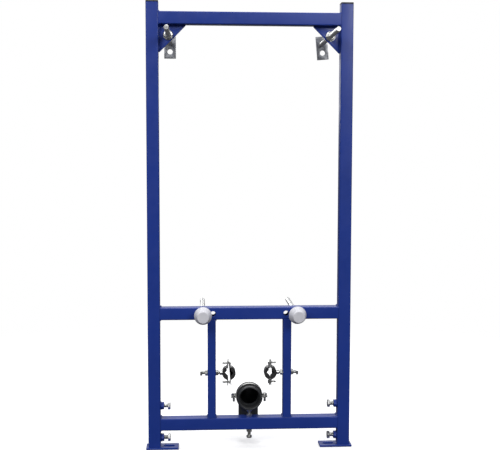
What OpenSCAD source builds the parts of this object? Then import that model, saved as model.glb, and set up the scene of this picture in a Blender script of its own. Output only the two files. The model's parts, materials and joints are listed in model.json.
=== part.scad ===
// Bidet installation frame: a welded square-tube frame that stands on two
// telescoping feet and is held to the wall by two adjustable brackets.
// X runs across the frame, Y from the room side towards the wall, Z up.
// The origin is on the floor under the centre line of the left post.

/* [View] */
// Which sub-part to draw

/* [Frame] */
// Overall width over the two posts
frame_w = 500; // [400:5:600]
// Height of the steel posts above the floor, legs pushed in
post_top = 1090; // [900:5:1250]
// Outer side of the square tube
tube = 30; // [25:1:40]
// Wall thickness of the square tube
tube_wall = 2; // [1.5:0.5:3]
// Outer corner radius of the square tube
tube_r = 2.5; // [1:0.5:4]
// Height of the centre line of the top bar
top_bar_z = 1053.5; // [900:0.5:1200]
// Height of the centre line of the middle bar that carries the studs
mid_bar_z = 338; // [250:0.5:450]
// Height of the centre line of the lower bar
lower_bar_z = 61.5; // [50:0.5:120]
// Distance of the uprights' centre lines from the middle of the frame
upright_x = 93.3; // [60:0.1:130]
// Width of an upright
upright_w = 20; // [15:1:30]
// Leg length of the corner gusset
gusset_leg = 65; // [40:1:100]
// Thickness of the corner gusset
gusset_t = 4; // [2:0.5:6]
// Height of the plastic cap that closes a post
cap_t = 4; // [2:0.5:8]

/* [Feet] */
// Length of the foot plate across the frame
foot_l = 80; // [60:1:120]
// Depth of the foot plate
foot_d = 38; // [30:1:60]
// Thickness of the foot plate
foot_t = 5; // [3:0.5:8]
// How far the foot plate reaches outwards past the post
foot_out = 5.5; // [0:0.5:20]
// Outer side of the inner leg tube
leg = 25; // [20:0.5:26]
// Length of the inner leg tube
leg_l = 350; // [200:10:450]
// Gap under the post when the leg is pushed in
foot_gap = 0.5; // [0.3:0.1:3]
// Length of the floor fixing slot
slot_l = 27; // [12:1:40]
// Width of the floor fixing slot
slot_w = 12; // [8:0.5:16]
// Height of the lower lock bolt
lock_z1 = 26.5; // [20:0.5:60]
// Height of the upper lock bolt
lock_z2 = 106.5; // [60:0.5:150]

/* [Wall fixing] */
// Distance of the wall rods from the middle of the frame
rod_x = 197; // [150:0.5:215]
// Height of the wall rods
rod_z = 1014.5; // [900:0.5:1150]
// Diameter of the wall rods
rod_d = 12; // [8:1:14]
// Length of a wall rod from its front end to the wall plate
rod_l = 281.7; // [150:0.1:350]
// Position of the wall plate's front face behind the frame's middle plane
plate_y = 157; // [60:1:250]
// Width of the wall plate
plate_w = 30; // [20:1:50]
// Height of the wall plate
plate_h = 60; // [40:1:90]
// Thickness of the wall plate
plate_t = 4; // [3:0.5:6]
// Diameter of the screw hole in the wall plate
plate_hole = 13.5; // [8:0.5:15]
// Turn of the right wall plate about its rod
plate_turn = -5; // [-90:1:90]

/* [Bidet studs] */
// Spacing of the two fitted studs
stud_gap = 230; // [180:10:260]
// Spacing of the two free stud holes
free_gap = 180; // [160:10:240]
// Diameter of a stud
stud_d = 12; // [10:1:14]
// Diameter of a stud hole
stud_hole = 13; // [11:0.5:16]
// Length of a stud
stud_l = 260; // [150:5:350]
// Position of the stud's front end
stud_front = -60; // [-100:1:-30]
// Diameter of the cap's rim
cap_rim_d = 43; // [30:1:60]
// Diameter of the cap's front
cap_front_d = 29; // [15:1:40]
// Length of the cap
cap_l = 28; // [15:1:40]
// Position of the cap's rim
cap_y = -42; // [-60:1:-30]

/* [Pipe clamps] */
// Distance of the water pipe clamps from the middle of the frame
clamp_x = 52; // [30:0.5:80]
// Height of the water pipe clamps
clamp_z = 188; // [120:1:280]
// Outer diameter of a clamp's steel band
clamp_d = 33.4; // [25:0.2:50]
// Half diagonal of the free opening in the rubber
clamp_open = 10.6; // [6:0.1:14]
// Width of a clamp along the pipe
clamp_w = 20; // [12:1:30]
// How far each half of a clamp sits past the middle plane
clamp_squeeze = 1.7; // [0:0.1:3]
// Angle by which the left clamp's inner half stands open
left_open = 5; // [5:1:20]

/* [Drain] */
// Height of the drain socket's axis
drain_z = 128.3; // [110:0.1:180]
// Inside diameter of the socket
socket_id = 50.5; // [40:0.1:60]
// Outside diameter of the spigot
spigot_od = 50; // [40:0.1:60]
// Pipe wall thickness
pipe_t = 2.5; // [1.8:0.1:4]
// Position of the socket's front rim
socket_y = -27; // [-50:1:-15]
// Bend radius of the elbow
bend_r = 35; // [28:1:60]
// Height of the spigot's lower end
spigot_z = 40; // [30:1:60]

/* [Hidden] */
$fn = 96;
cx = frame_w / 2 - tube / 2;          // middle of the frame
post_bottom = foot_t + foot_gap;
bar_l = frame_w - 2 * tube;
half_in = frame_w / 2 - tube;         // inner face of a post, from the middle
top_bar_bottom = top_bar_z - tube / 2;
gusset_y = 5;                          // front face of the gusset
low_top = lower_bar_z + tube / 2;
mid_bottom = mid_bar_z - tube / 2;
m8 = 4;
m10 = 5;
m12 = rod_d / 2;
thread_gap = 0.05;
blue = [0.13, 0.22, 0.52];
zinc = [0.78, 0.79, 0.80];
galv = [0.62, 0.63, 0.64];
black = [0.07, 0.07, 0.08];
rubber = [0.16, 0.16, 0.18];
white = [0.88, 0.89, 0.92];

// ---------- building blocks ----------

// side = -1 for the left half, +1 for the right half of the frame
module on_side(side) {
    translate([cx, 0, 0]) if (side < 0) mirror([1, 0, 0]) children();
    else children();
}

// rectangle with round corners, centred
module round_rect(w, d, r) {
    square([w - 2 * r, d], center = true);
    square([w, d - 2 * r], center = true);
    for (x = [-1, 1], y = [-1, 1])
        translate([x * (w / 2 - r), y * (d / 2 - r)]) circle(r);
}

// hollow section, standing on z = 0
module section(w, d, l, wall, r) {
    linear_extrude(l) difference() {
        round_rect(w, d, r);
        round_rect(w - 2 * wall, d - 2 * wall, max(r - wall, 0.5));
    }
}

// bar between the posts at height z
module cross_bar(z) {
    translate([cx - bar_l / 2, 0, z]) rotate([0, 90, 0])
        section(tube, tube, bar_l, tube_wall, tube_r);
}

// drill along Y, from y0 over length l
module drill_y(x, z, r, y0, l) {
    translate([x, y0, z]) rotate([-90, 0, 0]) cylinder(r = r, h = l);
}

// hexagon along +Z, given across flats
module hex(af, h) {
    cylinder(r = af / sqrt(3), h = h, $fn = 6);
}

// hexagon nut along +Z with a bore that just clears the thread
module nut(af, h, r) {
    difference() {
        hex(af, h);
        translate([0, 0, -1]) cylinder(r = r + thread_gap, h = h + 2);
    }
}

// flat washer along +Z
module washer(ro, h, r) {
    difference() {
        cylinder(r = ro, h = h);
        translate([0, 0, -1]) cylinder(r = r + 0.25, h = h + 2);
    }
}

// ---------- welded frame ----------

module post(side) {
    color(blue) on_side(side) translate([cx, 0, 0]) {
        difference() {
            translate([0, 0, post_bottom])
                section(tube, tube, post_top - post_bottom, tube_wall, tube_r);
            for (z = [lock_z1, lock_z2])
                translate([-tube / 2 - 1, 0, z]) rotate([0, 90, 0])
                    cylinder(r = m10 + 0.25, h = tube_wall + 2);
        }
        // nuts welded over the holes for the lock bolts
        for (z = [lock_z1, lock_z2])
            translate([-tube / 2, 0, z]) rotate([0, -90, 0])
                rotate([0, 0, 30]) nut(17, 8.5, m10);
    }
}

module post_caps() {
    color(black) for (side = [-1, 1]) on_side(side) translate([cx, 0, 0]) {
        translate([0, 0, post_top]) linear_extrude(cap_t)
            round_rect(tube, tube, tube_r);
        translate([0, 0, post_top - 14]) linear_extrude(14)
            round_rect(tube - 2 * tube_wall - 0.4, tube - 2 * tube_wall - 0.4, 0.6);
    }
}

module top_bar() {
    color(blue) cross_bar(top_bar_z);
}

module mid_bar() {
    color(blue) difference() {
        cross_bar(mid_bar_z);
        for (x = [-stud_gap, -free_gap, free_gap, stud_gap] / 2)
            drill_y(cx + x, mid_bar_z, stud_hole / 2, -tube, 2 * tube);
    }
}

// the lower bar is drilled for the screw that carries the drain clamp
module lower_bar() {
    color(blue) difference() {
        cross_bar(lower_bar_z);
        translate([cx, 0, lower_bar_z - tube])
            cylinder(r = m8 + 0.5, h = 2 * tube);
    }
}

module upright(side) {
    color(blue) on_side(side) translate([upright_x, 0, 0]) difference() {
        translate([0, 0, low_top])
            section(upright_w, tube, mid_bottom - low_top, tube_wall, tube_r);
        translate([-upright_w, 0, clamp_z]) rotate([0, 90, 0])
            cylinder(r = m8 + 0.5, h = 2 * upright_w);
    }
}

module gusset(side) {
    color(blue) on_side(side) difference() {
        translate([0, gusset_y + gusset_t, 0]) rotate([90, 0, 0])
            linear_extrude(gusset_t) polygon([
                [half_in, top_bar_bottom],
                [half_in - gusset_leg, top_bar_bottom],
                [half_in - gusset_leg, top_bar_bottom - 2],
                [half_in - 2, top_bar_bottom - gusset_leg],
                [half_in, top_bar_bottom - gusset_leg]
            ]);
        drill_y(rod_x, rod_z, m12 + 0.5, 0, 20);
    }
}

// ---------- lock bolts of the telescoping legs ----------

module lock_bolts(side) {
    color(zinc) on_side(side) translate([cx, 0, 0])
        for (z = [lock_z1, lock_z2])
            translate([-leg / 2 - 0.3, 0, z]) rotate([0, -90, 0]) {
                cylinder(r = m10, h = 20.2);
                translate([0, 0, 20.2]) rotate([0, 0, 30]) hex(17, 6.4);
            }
}

// ---------- feet ----------

module foot_plate(side) {
    color(blue) on_side(side) translate([cx, 0, 0]) difference() {
        translate([tube / 2 + foot_out - foot_l, -foot_d / 2, 0])
            cube([foot_l, foot_d, foot_t]);
        // slot for the floor screw
        for (x = [-1, 1])
            translate([-35.8 + x * (slot_l - slot_w) / 2, 0, -1])
                cylinder(r = slot_w / 2, h = foot_t + 2);
        translate([-35.8 - (slot_l - slot_w) / 2, -slot_w / 2, -1])
            cube([slot_l - slot_w, slot_w, foot_t + 2]);
    }
}

module leg_tube(side) {
    color(blue) on_side(side) translate([cx, 0, foot_t])
        section(leg, leg, leg_l, 2, 1.5);
}

// ---------- wall fixing ----------

module wall_rod(side) {
    color(zinc) on_side(side) translate([rod_x, 0, rod_z]) {
        translate([0, plate_y - 0.3 - rod_l, 0]) rotate([-90, 0, 0])
            cylinder(r = m12, h = rod_l);
        // riveted end that holds the plate
        translate([0, plate_y - 0.3, 0]) rotate([-90, 0, 0])
            cylinder(r = 4.5, h = plate_t - 1.5);
        translate([0, plate_y + plate_t - 1.8, 0]) rotate([-90, 0, 0])
            cylinder(r = 7, h = 1.6);
    }
}

module rod_nuts(side) {
    color(zinc) on_side(side) translate([rod_x, 0, rod_z]) {
        translate([0, gusset_y, 0]) rotate([90, 0, 0]) {
            washer(12, 2.5, m12);
            translate([0, 0, 2.5]) nut(19, 9, m12);
        }
        translate([0, gusset_y + gusset_t, 0]) rotate([-90, 0, 0]) {
            washer(12, 2.5, m12);
            translate([0, 0, 2.5]) nut(19, 9, m12);
        }
    }
}

// turn = rotation of the plate about its rod
module wall_plate(side, turn) {
    color(galv) translate([cx + side * rod_x, 0, rod_z]) rotate([0, turn, 0])
        difference() {
            translate([-plate_w / 2, plate_y, 20 - plate_h])
                cube([plate_w, plate_t, plate_h]);
            drill_y(0, 0, 4.55, plate_y - 1, plate_t + 2);
            drill_y(0, 0, 7.4, plate_y + plate_t - 2.1, 3);
            drill_y(0, 20 - plate_h + 17.5, plate_hole / 2, plate_y - 1, plate_t + 2);
        }
}

// ---------- bidet studs ----------

module stud(side) {
    color(zinc) on_side(side) translate([stud_gap / 2, stud_front, mid_bar_z])
        rotate([-90, 0, 0]) cylinder(r = stud_d / 2, h = stud_l);
}

module stud_nuts(side) {
    color(zinc) on_side(side) translate([stud_gap / 2, 0, mid_bar_z])
        for (a = [90, -90]) rotate([a, 0, 0]) translate([0, 0, tube / 2]) {
            washer(12, 2.5, stud_d / 2);
            translate([0, 0, 2.5]) nut(19, 10, stud_d / 2);
        }
}

module stud_cap(side) {
    color(white) on_side(side) translate([stud_gap / 2, cap_y, mid_bar_z])
        rotate([90, 0, 0]) difference() {
            union() {
                cylinder(r = cap_rim_d / 2, h = 3);
                translate([0, 0, 3])
                    cylinder(r1 = cap_rim_d / 2 - 0.5, r2 = cap_front_d / 2, h = cap_l - 3);
            }
            translate([0, 0, -1]) cylinder(r = stud_d / 2 + 0.02, h = 20);
        }
}

// ---------- water pipe clamps ----------

// half of a clamp seen along the pipe: kept on the +X side
module half_keep() {
    intersection() {
        children();
        translate([0.5, -60]) square([60, 120]);
    }
}

// arc of a half clamp, its centre moved past the middle plane
module arc_2d(r) {
    translate([-clamp_squeeze, 0]) circle(r);
}

module band_half_2d() {
    half_keep() difference() {
        arc_2d(clamp_d / 2);
        arc_2d(clamp_d / 2 - 1.5);
    }
    // ears above and below the band
    for (s = [-1, 1]) mirror([0, s < 0 ? 1 : 0]) {
        translate([0.8, clamp_d / 2 - 1.4]) square([1.8, 33 - clamp_d / 2]);
        // web between the ear and the band
        polygon([[0.8, 19], [2.6, 19], [6.2, 14.6], [4.1, 14.2], [4.1, 13.4], [0.8, 13.4]]);
    }
    // the web at the top reaches down between the ends of the rubber
    polygon([[0.8, 14], [4.1, 14], [3.4, 12.2], [0.8, 11.2]]);
}

module liner_half_2d() {
    half_keep() difference() {
        arc_2d(clamp_d / 2 - 1.5);
        rotate(45) square(clamp_open * sqrt(2), center = true);
        translate([-3, -30]) square([3.7, 30]);
        translate([-3, 0]) square([7.2, 30]);
        translate([-3, -30]) square([7.2, 16.6]);
    }
}

// rubber lips that stand over the band's edges
module lip_half_2d() {
    half_keep() difference() {
        arc_2d(clamp_d / 2 + 0.6);
        arc_2d(clamp_d / 2 - 1.5);
        translate([-7, 0]) square([14, 30]);
        translate([-3, -30]) square([3.8, 30]);
    }
}

module along_pipe(w) {
    rotate([90, 0, 0]) translate([0, 0, -w / 2]) linear_extrude(w) children();
}

// inner = the half that faces the middle of the frame, hung from the top ear
module clamp_half(inner, open) {
    if (inner) translate([0, 0, 24]) rotate([0, open, 0]) translate([0, 0, -24])
        mirror([1, 0, 0]) children();
    else children();
}

module clamp_band(side, open) {
    color(zinc) on_side(side) translate([clamp_x, 0, clamp_z]) {
        difference() {
            for (inner = [false, true]) clamp_half(inner, open)
                along_pipe(clamp_w - 3) band_half_2d();
            for (s = [-1, 1]) translate([-12, 0, 24 * s]) rotate([0, 90, 0])
                cylinder(r = 2.8, h = 24);
        }
        // threaded boss towards the upright
        difference() {
            translate([clamp_d / 2 - clamp_squeeze - 0.6, 0, 0]) rotate([0, 90, 0])
                cylinder(r = 6, h = 7.3);
            translate([clamp_d / 2 + 0.4, 0, 0]) rotate([0, 90, 0])
                cylinder(r = m8 + thread_gap, h = 8);
        }
    }
}

module clamp_liner(side, open) {
    color(rubber) on_side(side) translate([clamp_x, 0, clamp_z])
        for (inner = [false, true]) clamp_half(inner, open) {
            along_pipe(clamp_w) liner_half_2d();
            for (y = [-1, 1]) translate([0, y * (clamp_w - 1.5) / 2, 0])
                along_pipe(1.5) lip_half_2d();
        }
}

module clamp_bolt(side) {
    color(zinc) on_side(side) translate([0, 0, clamp_z]) {
        translate([clamp_x + clamp_d / 2 + 0.6, 0, 0]) rotate([0, 90, 0])
            cylinder(r = m8, h = 116.7 - clamp_x - clamp_d / 2 - 0.6);
        translate([116.7, 0, 0]) rotate([0, 90, 0]) hex(13, 5.3);
    }
}

module clamp_nuts(side) {
    color(zinc) on_side(side) translate([upright_x, 0, clamp_z])
        for (s = [-1, 1]) rotate([0, s * 90, 0])
            translate([0, 0, upright_w / 2]) nut(13, 6.5, m8);
}

// top, bottom = position of the underside of each head
module clamp_screws(side, top, bottom) {
    color(zinc) on_side(side) translate([clamp_x, 0, clamp_z])
        for (p = [[24, top], [-24, bottom]]) translate([p[1], 0, p[0]])
            rotate([0, 90, 0]) {
                translate([0, 0, -0.2]) cylinder(r = 2.5, h = 15 - p[1]);
                translate([0, 0, -3]) hex(8, 3);
            }
}

// ---------- drain ----------

module drain_elbow() {
    color(black) translate([cx, 0, drain_z]) {
        difference() {
            union() {
                translate([0, socket_y, 0]) rotate([-90, 0, 0])
                    cylinder(r = 27.2, h = 10 - socket_y);
                // bead over the seal groove
                translate([0, socket_y + 2, 0]) rotate([-90, 0, 0])
                    cylinder(r = 30, h = 12);
            }
            translate([0, socket_y - 1, 0]) rotate([-90, 0, 0])
                cylinder(r = socket_id / 2, h = 8 - socket_y);
            rotate([-90, 0, 0]) cylinder(r = spigot_od / 2 - pipe_t, h = 30);
        }
        // quarter bend down behind the lower bar
        translate([0, 10, -bend_r]) rotate([0, -90, 0]) rotate([0, 0, 0])
            rotate_extrude(angle = 90) translate([bend_r, 0]) difference() {
                circle(spigot_od / 2);
                circle(spigot_od / 2 - pipe_t);
            }
        translate([0, 10 + bend_r, spigot_z - drain_z]) difference() {
            cylinder(r = spigot_od / 2, h = drain_z - bend_r - spigot_z);
            translate([0, 0, -1])
                cylinder(r = spigot_od / 2 - pipe_t, h = drain_z - bend_r - spigot_z + 2);
        }
    }
}

module drain_clamp_band() {
    color(zinc) translate([cx, 0, drain_z]) {
        difference() {
            union() {
                along_pipe(17) difference() {
                    circle(32.5);
                    circle(31);
                    translate([-40, -1.2]) square([80, 2.4]);
                }
                // ears left and right of the band
                for (sx = [-1, 1], sz = [-1, 1])
                    translate([sx > 0 ? 31.6 : -45.5, -7, sz > 0 ? 1.2 : -3.2])
                        cube([13.9, 14, 2]);
            }
            for (sx = [-1, 1]) translate([sx * 38.5, 0, -6])
                cylinder(r = 3.05, h = 12);
        }
        // threaded boss under the band
        translate([0, 0, -38]) difference() {
            cylinder(r = 6.5, h = 6.2);
            translate([0, 0, -1]) cylinder(r = m8 + thread_gap, h = 6);
        }
    }
}

module drain_clamp_liner() {
    color(rubber) translate([cx, 0, drain_z]) {
        along_pipe(20) difference() {
            circle(31);
            circle(27.25);
            translate([-40, -1.2]) square([80, 2.4]);
        }
        for (y = [-9.25, 9.25]) translate([0, y, 0]) along_pipe(1.5) difference() {
            circle(33.2);
            circle(31);
            translate([-40, -4]) square([80, 8]);
            translate([-8, -40]) square([16, 20]);
        }
    }
}

module drain_clamp_screws() {
    color(zinc) for (sx = [-1, 1]) translate([cx + sx * 38.5, 0, drain_z]) {
        translate([0, 0, -14]) cylinder(r = 3, h = 17.2);
        translate([0, 0, 3.2]) hex(10, 4);
    }
}

module drain_bolt() {
    color(zinc) translate([cx, 0, 0]) {
        translate([0, 0, 27]) cylinder(r = m8, h = drain_z - 34 - 27);
        translate([0, 0, 22.4]) rotate([0, 0, 30]) hex(13, 5.3);
    }
}

module drain_nuts() {
    color(zinc) translate([cx, 0, 0]) {
        translate([0, 0, low_top]) rotate([0, 0, 30]) nut(13, 6.5, m8);
        translate([0, 0, low_top - tube - 1.6]) washer(8, 1.6, m8);
        translate([0, 0, low_top - tube - 9.1]) rotate([0, 0, 30]) nut(13, 7.5, m8);
    }
}

post(-1);  // post_left
post(1);  // post_right
post_caps();
top_bar();
mid_bar();
lower_bar();
upright(-1);  // upright_left
upright(1);  // upright_right
gusset(-1);  // gusset_left
gusset(1);  // gusset_right
lock_bolts(-1);  // lock_bolts_left
lock_bolts(1);  // lock_bolts_right
rod_nuts(-1);  // rod_nuts_left
rod_nuts(1);  // rod_nuts_right
stud(-1);  // stud_left
stud(1);  // stud_right
stud_nuts(-1);  // stud_nuts_left
stud_nuts(1);  // stud_nuts_right
stud_cap(-1);  // stud_cap_left
stud_cap(1);  // stud_cap_right
clamp_band(-1, left_open);  // clamp_band_left
clamp_band(1, 0);  // clamp_band_right
clamp_liner(-1, left_open);  // clamp_liner_left
clamp_liner(1, 0);  // clamp_liner_right
clamp_bolt(-1);  // clamp_bolt_left
clamp_bolt(1);  // clamp_bolt_right
clamp_nuts(-1);  // clamp_nuts_left
clamp_nuts(1);  // clamp_nuts_right
clamp_screws(-1, -3.1, -1.1);  // clamp_screws_left
clamp_screws(1, -2.6, -2.6);  // clamp_screws_right
drain_elbow();
drain_clamp_band();
drain_clamp_liner();
drain_clamp_screws();
drain_bolt();
drain_nuts();
foot_plate(-1);  // foot_plate_left
leg_tube(-1);  // leg_tube_left
foot_plate(1);  // foot_plate_right
leg_tube(1);  // leg_tube_right
wall_rod(-1);  // wall_rod_left
wall_rod(1);  // wall_rod_right
wall_plate(-1, 0);  // wall_plate_left
wall_plate(1, plate_turn);  // wall_plate_right
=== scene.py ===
import json
import math
import random

import bmesh
import bpy
from mathutils import Matrix, Vector, noise

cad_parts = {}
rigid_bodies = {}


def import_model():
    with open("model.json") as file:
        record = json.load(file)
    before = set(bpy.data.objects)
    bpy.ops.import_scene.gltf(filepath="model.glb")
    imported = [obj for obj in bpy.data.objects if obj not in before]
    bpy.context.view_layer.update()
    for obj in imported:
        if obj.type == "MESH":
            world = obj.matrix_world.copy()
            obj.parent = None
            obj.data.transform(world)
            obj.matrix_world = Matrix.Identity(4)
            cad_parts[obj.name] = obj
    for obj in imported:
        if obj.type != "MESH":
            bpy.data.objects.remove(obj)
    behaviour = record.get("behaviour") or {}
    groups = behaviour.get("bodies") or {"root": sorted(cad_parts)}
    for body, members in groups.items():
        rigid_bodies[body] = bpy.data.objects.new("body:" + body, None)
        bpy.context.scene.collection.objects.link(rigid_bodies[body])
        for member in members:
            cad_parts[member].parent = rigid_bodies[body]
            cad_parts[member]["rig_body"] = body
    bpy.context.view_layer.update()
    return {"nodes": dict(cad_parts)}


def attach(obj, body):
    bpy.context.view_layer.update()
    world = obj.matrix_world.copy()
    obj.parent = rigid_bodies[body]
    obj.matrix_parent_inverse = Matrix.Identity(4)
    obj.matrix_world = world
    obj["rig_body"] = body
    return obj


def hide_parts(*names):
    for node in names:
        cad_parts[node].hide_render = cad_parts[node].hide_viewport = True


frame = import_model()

# Lengths are in millimetres up to the last step of each piece, where they become metres.
rng = random.Random(7)
CX = 235.0
TAU = math.tau


# ---------------------------------------------------------------- mesh building

class Shape:
    """Corners and faces of one piece, in millimetres, in the object's own frame."""

    def __init__(self):
        self.v, self.f, self.m = [], [], []

    def add(self, verts, faces, matrix=None, mat=0):
        k = len(self.v)
        self.v += [tuple(matrix @ Vector(p)) if matrix else tuple(p) for p in verts]
        self.f += [[i + k for i in f] for f in faces]
        self.m += [mat] * len(faces)
        return self

    def build(self, name, mats, body, replaces=(), smooth=38.0, merge=2e-3):
        me = bpy.data.meshes.new(name)
        bm = bmesh.new()
        vs = [bm.verts.new(p) for p in self.v]
        for f, m in zip(self.f, self.m):
            face = bm.faces.new([vs[i] for i in f])
            face.material_index = m
        bmesh.ops.remove_doubles(bm, verts=bm.verts, dist=merge)
        bmesh.ops.dissolve_degenerate(bm, edges=bm.edges, dist=1e-4)
        bmesh.ops.recalc_face_normals(bm, faces=bm.faces)
        finish_mesh(bm, me, smooth)
        return piece(name, me, mats, body, replaces)


def finish_mesh(bm, me, smooth):
    for f in bm.faces:
        f.smooth = True
    limit = math.radians(smooth)
    for e in bm.edges:
        e.smooth = len(e.link_faces) == 2 and e.calc_face_angle(0.0) < limit
    bmesh.ops.scale(bm, vec=(0.001, 0.001, 0.001), verts=bm.verts)
    bm.to_mesh(me)
    bm.free()
    me.update()


def piece(name, me, mats, body, replaces=()):
    ob = bpy.data.objects.new(name, me)
    bpy.context.scene.collection.objects.link(ob)
    me.materials.clear()
    for m in mats if isinstance(mats, (list, tuple)) else [mats]:
        me.materials.append(m)
    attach(ob, body)
    if replaces:
        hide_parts(*([replaces] if isinstance(replaces, str) else replaces))
    return ob


def place(loc, z, x):
    """Local +Z goes to z, local +X to x."""
    z, x = Vector(z).normalized(), Vector(x).normalized()
    y = z.cross(x)
    m = Matrix((x, y, z)).transposed().to_4x4()
    m.translation = Vector(loc)
    return m


def lathe(profile, n=48):
    """Turns (radius, height) pairs about Z. A radius of 0 at an end is a pole."""
    verts, rows, faces = [], [], []
    for r, z in profile:
        if r < 1e-6:
            rows.append([len(verts)] * n)
            verts.append((0, 0, z))
        else:
            rows.append(list(range(len(verts), len(verts) + n)))
            verts += [(r * math.cos(TAU * i / n), r * math.sin(TAU * i / n), z) for i in range(n)]
    for a, b in zip(rows, rows[1:]):
        for i in range(n):
            j = (i + 1) % n
            f = [a[i], a[j], b[j], b[i]]
            f = [k for q, k in enumerate(f) if k not in f[:q]]
            if len(f) > 2:
                faces.append(f)
    return verts, faces


def lathe_loop(profile, n=48):
    """The same for a closed outline that doesn't touch the axis."""
    return lathe(list(profile) + [profile[0]], n)


def thread(r, pitch, length, n=20, cham=(1, 1), depth=0.58):
    """A rod from z = 0 with a true helical thread."""
    root = r - depth * pitch
    steps = [(0.0, root), (0.22, root), (0.54, r), (0.70, r)]
    turns = int(math.ceil(length / pitch)) + 3
    end0 = root - 0.25 * cham[0]
    end1 = root - 0.25 * cham[1]
    verts, faces = [], []
    for j in range(-2, turns):
        for t, rr in steps:
            for i in range(n):
                z = (j + t + i / n) * pitch
                zc = min(max(z, 0.0), length)
                q = min(rr, end0 + zc * 1.2, end1 + (length - zc) * 1.2)
                a = TAU * i / n
                verts.append((q * math.cos(a), q * math.sin(a), zc))
    rows = len(verts) // n
    for s in range(rows - 5):
        for i in range(n - 1):
            faces.append([s * n + i, s * n + i + 1, (s + 1) * n + i + 1, (s + 1) * n + i])
        faces.append([s * n + n - 1, (s + 4) * n, (s + 5) * n, (s + 1) * n + n - 1])
    for row, z in ((0, 0.0), (rows - 5, length)):
        c = len(verts)
        verts.append((0, 0, z))
        for i in range(n):
            a = row * n + i
            b = row * n + i + 1 if i < n - 1 else (row + 4) * n
            faces.append([c, a, b])
    return verts, faces


def hexagon(af, h, bore=0.0, top=True, bottom=False, n=48, dish=0.0, collar=0.0):
    """A nut or bolt head from z = 0, corners on +X, with turned chamfers."""
    rc = af * 0.475

    def rad(i):
        a = (TAU * i / n) % (TAU / 6)
        return af / 2 / math.cos(a - TAU / 12)

    def ring(fr, fz):
        return [(fr(i) * math.cos(TAU * i / n), fr(i) * math.sin(TAU * i / n), fz(i)) for i in range(n)]

    drop = lambda i: max(0.0, rad(i) - rc) * 0.577
    rows = []
    z0 = collar
    if bore:
        rows.append(ring(lambda i: bore, lambda i: 0.7))
        rows.append(ring(lambda i: bore + 0.6, lambda i: 0.0))
    if collar:
        rows.append(ring(lambda i: rc * 0.97, lambda i: 0.0))
        rows.append(ring(lambda i: rc * 0.99, lambda i: z0))
    else:
        rows.append(ring(lambda i: rc if bottom else min(rad(i) - 0.15, rad(i)), lambda i: 0.0))
    rows.append(ring(rad, lambda i: z0 + (drop(i) if bottom else 0.15)))
    rows.append(ring(rad, lambda i: h - (drop(i) if top else 0.15)))
    rows.append(ring(lambda i: rc if top else rad(i) - 0.15, lambda i: h))
    if dish:
        rows.append(ring(lambda i: rc * 0.72, lambda i: h))
        rows.append(ring(lambda i: rc * 0.60, lambda i: h - dish))
    if bore:
        rows.append(ring(lambda i: bore + 0.6, lambda i: h))
        rows.append(ring(lambda i: bore, lambda i: h - 0.7))
    verts = [p for r in rows for p in r]
    faces = []
    m = len(rows)
    last = m if bore else m - 1
    for s in range(last):
        for i in range(n):
            j = (i + 1) % n
            faces.append([s * n + i, s * n + j, ((s + 1) % m) * n + j, ((s + 1) % m) * n + i])
    if not bore:
        for row, z in ((0, 0.0), (m - 1, h - dish)):
            c = len(verts)
            verts.append((0, 0, z))
            for i in range(n):
                faces.append([c, row * n + i, row * n + (i + 1) % n])
    return verts, faces


def ring_washer(ro, ri, h, n=56):
    e = 0.35
    return lathe_loop([(ri, 0.1), (ri + 0.2, 0), (ro - e, 0), (ro, e), (ro, h - e * 0.7), (ro - e * 0.7, h),
                       (ri + 0.2, h), (ri, h - 0.1)], n)


def bead(points, radius, sides=8, closed=False, ripple=0.13, period=2.3, seed=0):
    """A weld bead: a tube along points whose radius swells with each drop. radius is a number or one per point."""
    pts = [Vector(p) for p in points]
    rad = list(radius) if isinstance(radius, (list, tuple)) else [radius] * len(pts)
    if closed:
        pts.append(pts[0])
        rad.append(rad[0])
    fine, fr, run = [], [], 0.0
    for (a, b), (ra, rb) in zip(zip(pts, pts[1:]), zip(rad, rad[1:])):
        d = (b - a).length
        k = max(1, int(round(d / 0.85)))
        for i in range(k):
            fine.append(a.lerp(b, i / k))
            fr.append((ra + (rb - ra) * i / k, run + d * i / k))
        run += d
    if not closed:
        fine.append(pts[-1])
        fr.append((rad[-1], run))
    n = len(fine)
    verts, faces = [], []
    local = random.Random(seed)
    phase = local.random() * TAU
    for i, p in enumerate(fine):
        before = fine[i - 1] if (i or closed) else fine[0]
        after = fine[(i + 1) % n] if (i < n - 1 or closed) else fine[-1]
        t = (after - before).normalized()
        ref = Vector((0, 0, 1)) if abs(t.z) < 0.8 else Vector((1, 0, 0))
        u = t.cross(ref).normalized()
        w = t.cross(u)
        r, s = fr[i]
        saw = (s / period + phase) % 1.0
        q = r * (1 + ripple * (math.sin(TAU * saw) * 0.7 + 0.5 - saw) + 0.06 * (local.random() - 0.5))
        if not closed and i in (0, n - 1):
            q *= 0.45
        for k in range(sides):
            a = TAU * k / sides
            verts.append(tuple(p + (u * math.cos(a) + w * math.sin(a)) * q))
    rings = n if closed else n - 1
    for i in range(rings):
        for k in range(sides):
            j = (k + 1) % sides
            o = ((i + 1) % n) * sides
            faces.append([i * sides + k, i * sides + j, o + j, o + k])
    if not closed:
        faces.append(list(range(sides)))
        faces.append([(n - 1) * sides + k for k in range(sides)])
    return verts, faces


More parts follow.
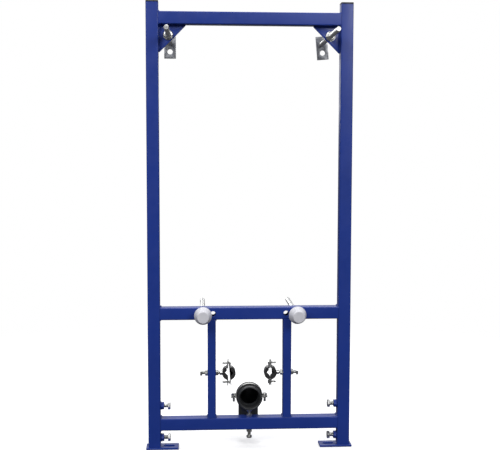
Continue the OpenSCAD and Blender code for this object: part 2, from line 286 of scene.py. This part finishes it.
def eased_copy(node, name, mat, width=0.4, seg=2, angle=32.0, smooth=30.0, body=None):
    """The CAD node's own shape with eased edges, as a new piece in its place."""
    src = frame["nodes"][node]
    bm = bmesh.new()
    bm.from_mesh(src.data)
    bmesh.ops.scale(bm, vec=(1000, 1000, 1000), verts=bm.verts)
    bmesh.ops.remove_doubles(bm, verts=bm.verts, dist=4e-3)
    bmesh.ops.dissolve_degenerate(bm, edges=bm.edges, dist=1e-4)
    bmesh.ops.recalc_face_normals(bm, faces=bm.faces)
    before = abs(bm.calc_volume())
    bmesh.ops.dissolve_limit(bm, angle_limit=math.radians(0.4), verts=bm.verts, edges=bm.edges)
    edges = [e for e in bm.edges if len(e.link_faces) == 2 and e.calc_face_angle(0.0) > math.radians(angle)]
    bmesh.ops.bevel(bm, geom=edges, offset=width, offset_type="OFFSET", segments=seg, profile=0.5,
                    affect="EDGES", clamp_overlap=False, miter_outer="ARC" if False else "SHARP")
    bmesh.ops.triangulate(bm, faces=[f for f in bm.faces if len(f.verts) > 4])
    after = abs(bm.calc_volume())
    print("eased", node, round(before, 1), round(after, 1), "faces", len(bm.faces))
    me = bpy.data.meshes.new(name)
    finish_mesh(bm, me, smooth)
    return piece(name, me, mat, body or src["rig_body"], node)


# ---------------------------------------------------------------- materials

def node_mat(name):
    m = bpy.data.materials.new(name)
    m.use_nodes = True
    nt = m.node_tree
    nt.nodes.clear()
    out = nt.nodes.new("ShaderNodeOutputMaterial")
    sh = nt.nodes.new("ShaderNodeBsdfPrincipled")
    nt.links.new(sh.outputs[0], out.inputs[0])
    co = nt.nodes.new("ShaderNodeTexCoord")
    return m, nt, sh, co.outputs["Object"]


def noise_of(nt, co, scale, detail=3.0, rough=0.5, stretch=None, distortion=0.0):
    if stretch:
        mp = nt.nodes.new("ShaderNodeMapping")
        mp.inputs["Scale"].default_value = stretch
        nt.links.new(co, mp.inputs["Vector"])
        co = mp.outputs[0]
    t = nt.nodes.new("ShaderNodeTexNoise")
    t.inputs["Scale"].default_value = scale
    t.inputs["Detail"].default_value = detail
    t.inputs["Roughness"].default_value = rough
    t.inputs["Distortion"].default_value = distortion
    nt.links.new(co, t.inputs["Vector"])
    return t.outputs["Fac"]


def ramp(nt, fac, stops):
    r = nt.nodes.new("ShaderNodeValToRGB")
    el = r.color_ramp.elements
    while len(el) < len(stops):
        el.new(0.5)
    for e, (p, c) in zip(el, stops):
        e.position = p
        e.color = (*c, 1) if len(c) == 3 else c
    nt.links.new(fac, r.inputs["Fac"])
    return r.outputs["Color"]


def to_range(nt, fac, lo, hi, a=0.3, b=0.7):
    r = nt.nodes.new("ShaderNodeMapRange")
    for k, v in (("From Min", a), ("From Max", b), ("To Min", lo), ("To Max", hi)):
        r.inputs[k].default_value = v
    nt.links.new(fac, r.inputs["Value"])
    return r.outputs["Result"]


def mix_col(nt, fac, a, b, mode="MIX"):
    m = nt.nodes.new("ShaderNodeMix")
    m.data_type = "RGBA"
    m.blend_type = mode
    for s, v in ((m.inputs[0], fac), (m.inputs[6], a), (m.inputs[7], b)):
        if hasattr(v, "links"):
            nt.links.new(v, s)
        elif isinstance(v, (int, float)):
            s.default_value = v
        else:
            s.default_value = (*v, 1)
    return m.outputs[2]


def bump(nt, sh, heights):
    """heights: (height output, strength, distance in metres), laid one over the other."""
    last = None
    for h, strength, dist in heights:
        b = nt.nodes.new("ShaderNodeBump")
        b.inputs["Strength"].default_value = strength
        b.inputs["Distance"].default_value = dist
        nt.links.new(h, b.inputs["Height"])
        if last:
            nt.links.new(last, b.inputs["Normal"])
        last = b.outputs["Normal"]
    nt.links.new(last, sh.inputs["Normal"])


def blue_paint(name="blue_enamel", a=(0.0095, 0.0360, 0.250), b=(0.0130, 0.0440, 0.300), r=(0.30, 0.42)):
    m, nt, sh, co = node_mat(name)
    broad = noise_of(nt, co, 7.0, 4.0, 0.55)
    mottle = noise_of(nt, co, 60.0, 3.0, 0.6)
    col = ramp(nt, broad, [(0.30, a), (0.70, b)])
    col = mix_col(nt, to_range(nt, mottle, 0.0, 0.30), col, (b[0] * 1.4, b[1] * 1.15, b[2] * 1.04))
    nt.links.new(col, sh.inputs["Base Color"])
    nt.links.new(to_range(nt, noise_of(nt, co, 25.0, 3.0), r[0], r[1]), sh.inputs["Roughness"])
    sh.inputs["Specular IOR Level"].default_value = 0.36
    sh.inputs["Coat Weight"].default_value = 0.12
    sh.inputs["Coat Roughness"].default_value = 0.18
    peel = noise_of(nt, co, 330.0, 2.0, 0.4)
    runs = noise_of(nt, co, 42.0, 2.0, 0.4)
    bump(nt, sh, [(runs, 0.12, 0.0006), (peel, 0.16, 0.00022)])
    return m


def zinc(name="bright_zinc", a=(0.50, 0.51, 0.52), b=(0.80, 0.80, 0.79), r=(0.20, 0.36)):
    m, nt, sh, co = node_mat(name)
    sh.inputs["Metallic"].default_value = 1.0
    cloud = noise_of(nt, co, 160.0, 4.0, 0.6)
    tint = noise_of(nt, co, 45.0, 2.0, 0.5)
    col = ramp(nt, cloud, [(0.30, a), (0.62, b)])
    col = mix_col(nt, to_range(nt, tint, 0.0, 0.35), col, (0.70, 0.71, 0.60))
    nt.links.new(col, sh.inputs["Base Color"])
    nt.links.new(to_range(nt, noise_of(nt, co, 420.0, 3.0, 0.6), r[0], r[1]), sh.inputs["Roughness"])
    scuff = noise_of(nt, co, 700.0, 2.0, 0.6)
    bump(nt, sh, [(scuff, 0.22, 0.00012)])
    return m


def galvanised(name, a, b, r=(0.34, 0.50)):
    m, nt, sh, co = node_mat(name)
    sh.inputs["Metallic"].default_value = 0.92
    cells = nt.nodes.new("ShaderNodeTexVoronoi")
    cells.inputs["Scale"].default_value = 190.0
    nt.links.new(co, cells.inputs["Vector"])
    cell = nt.nodes.new("ShaderNodeSeparateColor")
    nt.links.new(cells.outputs["Color"], cell.inputs[0])
    smear = noise_of(nt, co, 60.0, 4.0, 0.6)
    col = ramp(nt, cell.outputs[0], [(0.0, a), (1.0, b)])
    dark = tuple(x * 0.72 for x in a)
    col = mix_col(nt, to_range(nt, smear, 0.0, 0.55), col, dark)
    nt.links.new(col, sh.inputs["Base Color"])
    nt.links.new(to_range(nt, cell.outputs[1], r[0], r[1], 0.0, 1.0), sh.inputs["Roughness"])
    bump(nt, sh, [(cells.outputs["Distance"], 0.10, 0.0004), (noise_of(nt, co, 500.0), 0.12, 0.0001)])
    return m


def plastic(name, a, b, r=(0.40, 0.52), grain=600.0, depth=0.00012, strength=0.25, sheen=0.0, scale=40.0):
    m, nt, sh, co = node_mat(name)
    col = ramp(nt, noise_of(nt, co, scale, 4.0, 0.6), [(0.30, a), (0.70, b)])
    nt.links.new(col, sh.inputs["Base Color"])
    nt.links.new(to_range(nt, noise_of(nt, co, 90.0, 3.0), r[0], r[1]), sh.inputs["Roughness"])
    if sheen:
        sh.inputs["Sheen Weight"].default_value = sheen
        sh.inputs["Sheen Roughness"].default_value = 0.5
    bump(nt, sh, [(noise_of(nt, co, 70.0, 2.0), 0.06, 0.0008), (noise_of(nt, co, grain, 2.0, 0.6), strength, depth)])
    return m


BLUE = blue_paint()
BLUE_WELD = blue_paint("blue_enamel_weld", (0.0080, 0.0300, 0.210), (0.0110, 0.0370, 0.250), (0.34, 0.50))
ZINC = zinc()
ZINC_ROD = zinc("zinc_rod", (0.58, 0.59, 0.60), (0.86, 0.86, 0.85), (0.24, 0.40))
GALV_L = galvanised("galvanised_left", (0.30, 0.31, 0.32), (0.52, 0.53, 0.54))
GALV_R = galvanised("galvanised_right", (0.30, 0.31, 0.32), (0.52, 0.53, 0.54))
BLACK = plastic("black_cap", (0.010, 0.010, 0.012), (0.020, 0.020, 0.022), (0.42, 0.58), 900.0, 0.0001, 0.35)
PIPE = plastic("pipe_plastic", (0.020, 0.022, 0.024), (0.034, 0.036, 0.040), (0.30, 0.42), 500.0, 0.00008, 0.15)
RUBBER = plastic("rubber_liner", (0.012, 0.012, 0.013), (0.026, 0.026, 0.027), (0.58, 0.78), 1100.0, 0.00018, 0.5)
WHITE = plastic("white_cap", (0.70, 0.70, 0.745), (0.78, 0.78, 0.82), (0.42, 0.55), 700.0, 0.00008, 0.16, 0.15)


# ---------------------------------------------------------------- painted frame

for n in ("post_left", "post_right", "top_bar", "mid_bar", "lower_bar", "upright_left", "upright_right",
          "leg_tube_left", "leg_tube_right"):
    eased_copy(n, n + "_tube", BLUE, 0.25, 1, 40.0)
for n in ("gusset_left", "gusset_right"):
    eased_copy(n, n + "_plate", BLUE, 0.6, 3)
for n in ("foot_plate_left", "foot_plate_right"):
    eased_copy(n, n + "_steel", BLUE, 0.9, 3)
eased_copy("post_caps", "post_caps_moulded", BLACK, 0.9, 3)


def bar_loop(x, z, into, h=15.0, d=15.0):
    """Bead round a bar's end on a post's face. into = direction from the post into the bar."""
    g = 0.9 * into
    f = -1.3 * into
    pts = [(x + g, -d + 2.5, z + h + 0.1), (x + g, d, z + h), (x + g, d + 0.1, z + h - 1), (x + g, d + 0.1, z - h + 1),
           (x + g, d, z - h), (x + g, -d + 2.5, z - h - 0.1), (x + f, -d + 1.6, z - h + 1.5), (x + f, -d + 1.6, z + h - 1.5)]
    rad = [2.1, 2.2, 2.0, 2.0, 2.2, 2.1, 1.5, 1.5]
    return pts, rad


for name, z in (("top_bar", 1053.5), ("mid_bar", 338.0), ("lower_bar", 61.5)):
    s = Shape()
    for k, (x, into) in enumerate(((15.0, 1), (455.0, -1))):
        pts, rad = bar_loop(x, z, into)
        s.add(*bead(pts, rad, closed=True, seed=int(z) + k))
    s.build("weld_" + name, BLUE_WELD, "frame", smooth=60)

for side, x0 in (("left", 141.7), ("right", 328.3)):
    s = Shape()
    for k, (z, up) in enumerate(((76.5, 1), (323.0, -1))):
        g = 0.7 * up
        pts = [(x0 - 10.2, -12.5, z + g), (x0 - 10.2, 14.0, z + g), (x0 - 9, 15.2, z + g), (x0 + 9, 15.2, z + g),
               (x0 + 10.2, 14.0, z + g), (x0 + 10.2, -12.5, z + g), (x0 + 8.5, -13.4, z - 1.2 * up), (x0 - 8.5, -13.4, z - 1.2 * up)]
        s.add(*bead(pts, [2.0, 2.0, 1.8, 1.8, 2.0, 2.0, 1.4, 1.4], closed=True, seed=k + int(x0)))
    s.build("weld_upright_" + side, BLUE_WELD, "frame", smooth=60)

for side, sg, xp in (("left", 1, 15.0), ("right", -1, 455.0)):
    s = Shape()
    for k, y in enumerate((4.9, 9.1)):
        s.add(*bead([(xp + sg * 3, y, 1038.3), (xp + sg * 62, y, 1038.3)], 1.5, seed=k + 31))
        s.add(*bead([(xp + sg * 0.2, y, 1036.5), (xp + sg * 0.2, y, 976.5)], 1.5, seed=k + 47))
    s.build("weld_gusset_" + side, BLUE_WELD, "frame", smooth=60)
    s = Shape()
    for k, z in enumerate((26.5, 106.5)):
        ring = []
        for i in range(36):
            a = TAU * i / 36
            hexr = 8.5 / math.cos(((a + TAU / 12) % (TAU / 6)) - TAU / 12)
            hexr = min(hexr, 9.3) + 0.5
            ring.append((xp + sg * 0.5, hexr * math.sin(a + TAU / 4), z + hexr * math.cos(a + TAU / 4)))
        s.add(*bead(ring, 1.25, closed=True, ripple=0.2, seed=k + 90))
    s.build("weld_lock_nuts_" + side, BLUE_WELD, "frame", smooth=60)


# ---------------------------------------------------------------- bolts, studs and rods

for side, xp, sg in (("left", 0.0, 1), ("right", 470.0, -1)):
    s = Shape()
    for k, z in enumerate((26.5, 106.5)):
        turn = (0.0, 0.14) if side == "left" else (0.20, 0.05)
        spin = Matrix.Rotation(turn[k], 4, "Z")
        m = place((xp + sg * 12.8, 0, z), (sg, 0, 0), (0, 1, 0))
        s.add(*thread(5.0, 1.5, 20.2, 20, (1, 0)), m)
        m = place((xp + sg * 33.0, 0, z), (sg, 0, 0), (0, 1, 0))
        s.add(*hexagon(17, 6.4, top=True, dish=0.35, collar=0.4), m @ spin)
    s.build("lock_bolts_" + side + "_zinc", ZINC, "frame", "lock_bolts_" + side)

for side, x in (("left", 38.0), ("right", 432.0)):
    s = Shape()
    for y, dy, tw in ((5.0, -1, 0.18), (9.0, 1, 0.4)):
        spin = Matrix.Rotation(tw, 4, "Z")
        s.add(*ring_washer(12, 6.25, 2.5), place((x, y, 1014.5), (0, dy, 0), (1, 0, 0)))
        s.add(*hexagon(19, 9, bore=6.05, top=True, bottom=True),
              place((x, y + dy * 2.5, 1014.5), (0, dy, 0), (1, 0, 0)) @ spin)
    s.build("rod_nuts_" + side + "_zinc", ZINC, "frame", "rod_nuts_" + side)

    s = Shape()
    s.add(*thread(6.0, 1.75, 281.7, 22), place((x, -125.0, 1014.5), (0, 1, 0), (1, 0, 0)))
    head = [(0, 0), (4.5, 0), (4.5, 2.5), (5.2, 2.6), (7.0, 2.7), (7.0, 3.3), (6.6, 3.7), (5.4, 4.0), (3.6, 4.1), (0, 4.1)]
    s.add(*lathe(head, 40), place((x, 156.7, 1014.5), (0, 1, 0), (1, 0, 0)))
    s.build("wall_rod_" + side + "_thread", ZINC_ROD, side + "_wall_rod", "wall_rod_" + side)
    eased_copy("wall_plate_" + side, "wall_plate_" + side + "_sheet", GALV_L if side == "left" else GALV_R,
               0.45, 3)

for side, x in (("left", 120.0), ("right", 350.0)):
    s = Shape()
    s.add(*thread(6.0, 1.75, 260.0, 22), place((x, -60.0, 338.0), (0, 1, 0), (1, 0, 0)))
    s.build("stud_" + side + "_thread", ZINC_ROD, "frame", "stud_" + side)
    s = Shape()
    for y, dy, tw in ((-15.0, -1, 0.1), (15.0, 1, 0.33)):
        spin = Matrix.Rotation(tw, 4, "Z")
        s.add(*ring_washer(12, 6.25, 2.5), place((x, y, 338.0), (0, dy, 0), (1, 0, 0)))
        s.add(*hexagon(19, 10, bore=6.05, top=True, bottom=True),
              place((x, y + dy * 2.5, 338.0), (0, dy, 0), (1, 0, 0)) @ spin)
    s.build("stud_nuts_" + side + "_zinc", ZINC, "frame", "stud_nuts_" + side)

# tapered protective caps on the studs, a thin shell with a hub and ribs inside
for side, x, tilt in (("left", 120.0, (0.0, 0.0)), ("right", 350.0, (4.0, 3.0))):
    outer = [(0, 27.55), (9.0, 27.6), (12.4, 27.75), (13.6, 27.55), (14.3, 26.9), (14.75, 25.9), (16.2, 21.0),
             (17.7, 15.8), (19.2, 10.4), (20.5, 5.6), (20.95, 3.9), (21.35, 3.1), (21.5, 2.4), (21.5, 0.9),
             (21.2, 0.25), (20.7, 0.0), (19.6, 0.0), (19.3, 0.4), (18.6, 3.0), (13.6, 23.6), (12.6, 24.6),
             (8.0, 24.9), (7.9, 24.0), (7.9, 1.6), (7.6, 1.2), (6.3, 1.2), (6.06, 1.5), (6.06, 20.0), (0, 20.0)]
    s = Shape()
    m = place((x, -42.0, 338.0), (0, -1, 0), (1, 0, 0))
    m = m @ Matrix.Rotation(math.radians(tilt[0]) * 0.5, 4, "Y") @ Matrix.Rotation(math.radians(tilt[1]) * 0.5, 4, "X")
    s.add(*lathe(outer, 72), m)
    for i in range(6):
        a = TAU * i / 6 + 0.2
        c, q = math.cos(a), math.sin(a)
        w = 0.6
        pr = [(7.7, 3.0), (18.4, 3.6), (13.8, 23.0), (7.7, 23.0)]
        vs = [(r * c - t * q, r * q + t * c, z) for t in (-w, w) for r, z in pr]
        s.add(vs, [[0, 1, 2, 3], [7, 6, 5, 4], [0, 4, 5, 1], [1, 5, 6, 2], [2, 6, 7, 3], [3, 7, 4, 0]], m)
    s.build("stud_cap_" + side + "_shell", WHITE, "frame", "stud_cap_" + side, smooth=32)


# ---------------------------------------------------------------- water pipe clamps

for side, sg in (("left", -1), ("right", 1)):
    eased_copy("clamp_band_" + side, "clamp_band_" + side + "_strip", ZINC, 0.18, 2)
    eased_copy("clamp_liner_" + side, "clamp_liner_" + side + "_rubber", RUBBER, 0.3, 2)
    s = Shape()
    s.add(*thread(4.0, 1.25, 47.4, 18, (1, 0)), place((CX + sg * 69.3, 0, 188.0), (sg, 0, 0), (0, 0, 1)))
    s.add(*hexagon(13, 5.3, top=True, dish=0.3, collar=0.3), place((CX + sg * 116.7, 0, 188.0), (sg, 0, 0), (0, 0, 1)))
    s.build("clamp_bolt_" + side + "_zinc", ZINC, "frame", "clamp_bolt_" + side)
    s = Shape()
    for k, tw in ((-1, 0.3), (1, 0.12)):
        spin = Matrix.Rotation(tw, 4, "Z")
        s.add(*hexagon(13, 6.5, bore=4.05, top=True, bottom=True),
              place((CX + sg * 93.3 + k * 10.0, 0, 188.0), (k, 0, 0), (0, 0, 1)) @ spin)
    s.build("clamp_nuts_" + side + "_zinc", ZINC, "frame", "clamp_nuts_" + side)
    s = Shape()
    for dz, p in ((24.0, -3.1 if sg < 0 else -2.6), (-24.0, -1.1 if sg < 0 else -2.6)):
        xx = CX + sg * (52.0 + p)
        s.add(*thread(2.5, 0.8, 15.0 - p - 0.2, 14), place((xx - sg * 0.2, 0, 188.0 + dz), (sg, 0, 0), (0, 0, 1)))
        s.add(*hexagon(8, 3.0, top=True, dish=0.4, n=36), place((xx, 0, 188.0 + dz), (-sg, 0, 0), (0, 0, 1)))
    s.build("clamp_screws_" + side + "_zinc", ZINC, "frame", "clamp_screws_" + side)


# ---------------------------------------------------------------- drain elbow and its clamp

def elbow_line(t):
    """Point and direction of the elbow's centre line, t millimetres from the socket's rim."""
    if t <= 37.0:
        return Vector((CX, -27.0 + t, 128.3)), Vector((0, 1, 0))
    a = (t - 37.0) / 35.0
    if a <= math.pi / 2:
        return (Vector((CX, 10.0 + 35.0 * math.sin(a), 93.3 + 35.0 * math.cos(a))), Vector((0, math.cos(a), -math.sin(a))))
    d = t - 37.0 - 35.0 * math.pi / 2
    return Vector((CX, 45.0, 93.3 - d)), Vector((0, 0, -1))


LEN = 37.0 + 35.0 * math.pi / 2 + 53.3
bend = [37.0 + 35.0 * math.pi / 2 * i / 20 for i in range(21)]
outside = [(0.0, 27.6), (0.25, 28.5), (0.8, 29.3), (1.7, 29.85), (2.8, 30.0), (12.6, 30.0), (13.6, 29.8), (14.5, 29.2),
           (15.3, 28.3), (16.4, 27.5), (17.8, 27.2), (24.0, 27.2), (33.6, 27.2), (34.8, 27.05), (35.7, 26.5), (36.4, 25.6)]
outside += [(t, 25.0) for t in bend] + [(LEN - 20, 25.0), (LEN - 4.5, 25.0), (LEN - 0.8, 23.9), (LEN, 23.5)]
inside = [(LEN, 22.7), (LEN - 0.8, 22.5)] + [(t, 22.5) for t in reversed(bend)] + [
    (36.0, 22.5), (35.0, 22.6), (34.9, 25.2), (34.0, 25.25), (13.4, 25.25), (13.0, 26.6), (3.4, 26.6), (3.0, 25.3),
    (1.6, 25.3), (0.5, 26.0), (0.0, 26.8)]
s = Shape()
N = 72
rows = []
verts, faces = [], []
for t, r in outside + inside:
    c, d = elbow_line(t)
    u = Vector((1, 0, 0))
    w = d.cross(u)
    rows.append(len(verts))
    verts += [tuple(c + (u * math.cos(TAU * i / N) + w * math.sin(TAU * i / N)) * r) for i in range(N)]
for a, b in zip(rows, rows[1:] + rows[:1]):
    for i in range(N):
        j = (i + 1) % N
        faces.append([a + i, a + j, b + j, b + i])
s.add(verts, faces)
s.build("drain_elbow_pipe", PIPE, "frame", "drain_elbow", smooth=34)

# seal ring with two lips inside the socket
lips = [(26.5, 3.6), (25.2, 3.4), (24.6, 4.2), (23.9, 6.4), (23.75, 6.9), (24.0, 7.1), (24.9, 6.6), (25.0, 8.2),
        (24.2, 10.4), (24.05, 10.9), (24.3, 11.1), (25.2, 10.6), (25.6, 12.6), (26.5, 12.8)]
s = Shape()
s.add(*lathe_loop(lips, 72), place((CX, -27.0, 128.3), (0, 1, 0), (1, 0, 0)))
s.build("drain_seal_ring", RUBBER, "frame", smooth=50)

eased_copy("drain_clamp_band", "drain_clamp_band_strip", ZINC, 0.25, 2)
eased_copy("drain_clamp_liner", "drain_clamp_liner_rubber", RUBBER, 0.4, 3)
s = Shape()
for sx, tw in ((-1, 0.2), (1, 0.45)):
    spin = Matrix.Rotation(tw, 4, "Z")
    s.add(*thread(3.0, 1.0, 17.2, 16, (1, 0)), place((CX + sx * 38.5, 0, 114.3), (0, 0, 1), (1, 0, 0)))
    s.add(*hexagon(10, 4.0, top=True, dish=0.5, collar=0.3),
          place((CX + sx * 38.5, 0, 131.5), (0, 0, 1), (1, 0, 0)) @ spin)
s.build("drain_clamp_screws_zinc", ZINC, "frame", "drain_clamp_screws")
s = Shape()
s.add(*thread(4.0, 1.25, 67.3, 18, (0, 1)), place((CX, 0, 27.0), (0, 0, 1), (1, 0, 0)))
s.add(*hexagon(13, 5.3, top=True, bottom=False, dish=0.3, collar=0.3), place((CX, 0, 27.7), (0, 0, -1), (0, 1, 0)))
s.build("drain_bolt_zinc", ZINC, "frame", "drain_bolt")
s = Shape()
s.add(*hexagon(13, 6.5, bore=4.05, top=True, bottom=True), place((CX, 0, 76.5), (0, 0, 1), (0, 1, 0)))
s.add(*ring_washer(8, 4.25, 1.6, 40), place((CX, 0, 44.9), (0, 0, 1), (1, 0, 0)))
s.add(*hexagon(13, 7.5, bore=4.05, top=True, bottom=True), place((CX, 0, 37.4), (0, 0, 1), (0, 1, 0)))
s.build("drain_nuts_zinc", ZINC, "frame", "drain_nuts")


# ---------------------------------------------------------------- floor, light and camera

def stage_plane(name, corners, mat):
    me = bpy.data.meshes.new(name)
    me.from_pydata(corners, [], [list(range(len(corners)))])
    ob = bpy.data.objects.new(name, me)
    bpy.context.scene.collection.objects.link(ob)
    me.materials.append(mat)
    return ob


# pale floor: matt near the object, evenly bright further out
m = bpy.data.materials.new("pale_floor")
m.use_nodes = True
nt = m.node_tree
nt.nodes.clear()
out = nt.nodes.new("ShaderNodeOutputMaterial")
co = nt.nodes.new("ShaderNodeTexCoord").outputs["Object"]
dif = nt.nodes.new("ShaderNodeBsdfDiffuse")
tone = ramp(nt, noise_of(nt, co, 3.0, 3.0), [(0.3, (0.86, 0.86, 0.865)), (0.7, (0.89, 0.89, 0.89))])
nt.links.new(tone, dif.inputs["Color"])
glow = nt.nodes.new("ShaderNodeEmission")
glow.inputs["Color"].default_value = (1, 1, 1, 1)
glow.inputs["Strength"].default_value = 0.42
both = nt.nodes.new("ShaderNodeAddShader")
nt.links.new(dif.outputs[0], both.inputs[0])
nt.links.new(glow.outputs[0], both.inputs[1])
length = nt.nodes.new("ShaderNodeVectorMath")
length.operation = "LENGTH"
nt.links.new(co, length.inputs[0])
share = to_range(nt, length.outputs["Value"], 0.0, 1.0, 0.7, 1.7)
clear = nt.nodes.new("ShaderNodeBsdfTransparent")
mix = nt.nodes.new("ShaderNodeMixShader")
nt.links.new(share, mix.inputs[0])
nt.links.new(both.outputs[0], mix.inputs[1])
nt.links.new(clear.outputs[0], mix.inputs[2])
nt.links.new(mix.outputs[0], out.inputs[0])
floor = stage_plane("floor", [(1.8 * math.cos(TAU * i / 48), 1.8 * math.sin(TAU * i / 48), 0) for i in range(48)], m)
floor.location = (0.235, 0.0, -0.0002)
floor.visible_glossy = floor.visible_diffuse = False

# white surround that only closes the view
m = bpy.data.materials.new("white_surround")
m.use_nodes = True
nt = m.node_tree
nt.nodes.clear()
out = nt.nodes.new("ShaderNodeOutputMaterial")
glow = nt.nodes.new("ShaderNodeEmission")
glow.inputs["Color"].default_value = (1, 1, 1, 1)
glow.inputs["Strength"].default_value = 1.0
nt.links.new(glow.outputs[0], out.inputs[0])
me = bpy.data.meshes.new("surround")
bm = bmesh.new()
bmesh.ops.create_uvsphere(bm, u_segments=32, v_segments=16, radius=9.0)
bm.to_mesh(me)
bm.free()
me.materials.append(m)
dome = bpy.data.objects.new("surround", me)
bpy.context.scene.collection.objects.link(dome)
for flag in ("visible_diffuse", "visible_glossy", "visible_transmission", "visible_volume_scatter", "visible_shadow"):
    setattr(dome, flag, False)

world = bpy.data.worlds.new("studio")
bpy.context.scene.world = world
world.use_nodes = True
nt = world.node_tree
nt.nodes.clear()
wo = nt.nodes.new("ShaderNodeOutputWorld")
bg = nt.nodes.new("ShaderNodeBackground")
nt.links.new(bg.outputs[0], wo.inputs[0])
direction = nt.nodes.new("ShaderNodeTexCoord").outputs["Generated"]
sep = nt.nodes.new("ShaderNodeSeparateXYZ")
nt.links.new(direction, sep.inputs[0])
sky = ramp(nt, to_range(nt, sep.outputs["Z"], 0.0, 1.0, -1.0, 1.0),
           [(0.0, (0.10, 0.10, 0.11)), (0.45, (0.13, 0.13, 0.14)), (0.60, (0.20, 0.20, 0.22)), (1.0, (0.60, 0.61, 0.64))])
nt.links.new(sky, bg.inputs["Color"])
bg.inputs["Strength"].default_value = 0.8


def softbox(name, loc, target, size, watts, colour=(1, 1, 1), size_y=None):
    li = bpy.data.lights.new(name, "AREA")
    li.shape = "RECTANGLE"
    li.size = size
    li.size_y = size_y or size
    li.energy = watts
    li.color = colour
    ob = bpy.data.objects.new(name, li)
    ob.location = loc
    ob.rotation_mode = "QUATERNION"
    ob.rotation_quaternion = (Vector(target) - Vector(loc)).to_track_quat("-Z", "Y")
    bpy.context.scene.collection.objects.link(ob)
    return ob


softbox("key", (-1.3, -2.4, 2.3), (0.2, 0.0, 0.6), 1.5, 44)
softbox("fill", (1.5, -2.9, 1.9), (0.25, 0.0, 0.7), 1.0, 34)
softbox("top", (0.3, 0.3, 3.0), (0.235, 0.0, 0.0), 2.2, 42)
softbox("rear", (0.2, 2.4, 1.8), (0.235, 0.0, 0.5), 2.0, 14)

cam = bpy.data.cameras.new("camera")
cam_ob = bpy.data.objects.new("camera", cam)
bpy.context.scene.collection.objects.link(cam_ob)
yaw, pitch, roll, focal = 0.05929389, 0.07739972, 0.00187298, 890.966
fwd0 = Vector((math.sin(yaw), math.cos(yaw), 0))
right = Vector((math.cos(yaw), -math.sin(yaw), 0))
up = Vector((0, 0, 1))
fwd = fwd0 * math.cos(pitch) - up * math.sin(pitch)
upc = up * math.cos(pitch) + fwd0 * math.sin(pitch)
r2 = right * math.cos(roll) + upc * math.sin(roll)
u2 = -right * math.sin(roll) + upc * math.cos(roll)
mw = Matrix((r2, u2, -fwd)).transposed().to_4x4()
mw.translation = Vector((0.106873, -2.177603, 0.724322))
cam_ob.matrix_world = mw
cam.sensor_fit = "HORIZONTAL"
cam.sensor_width = 36.0
cam.lens = focal * 36.0 / 500.0
cam.clip_start, cam.clip_end = 0.05, 60.0
cam.dof.use_dof = False
bpy.context.scene.camera = cam_ob

view = bpy.context.scene.view_settings
view.view_transform = "Standard"
view.look = "None"
view.exposure = 0.0
view.gamma = 1.0
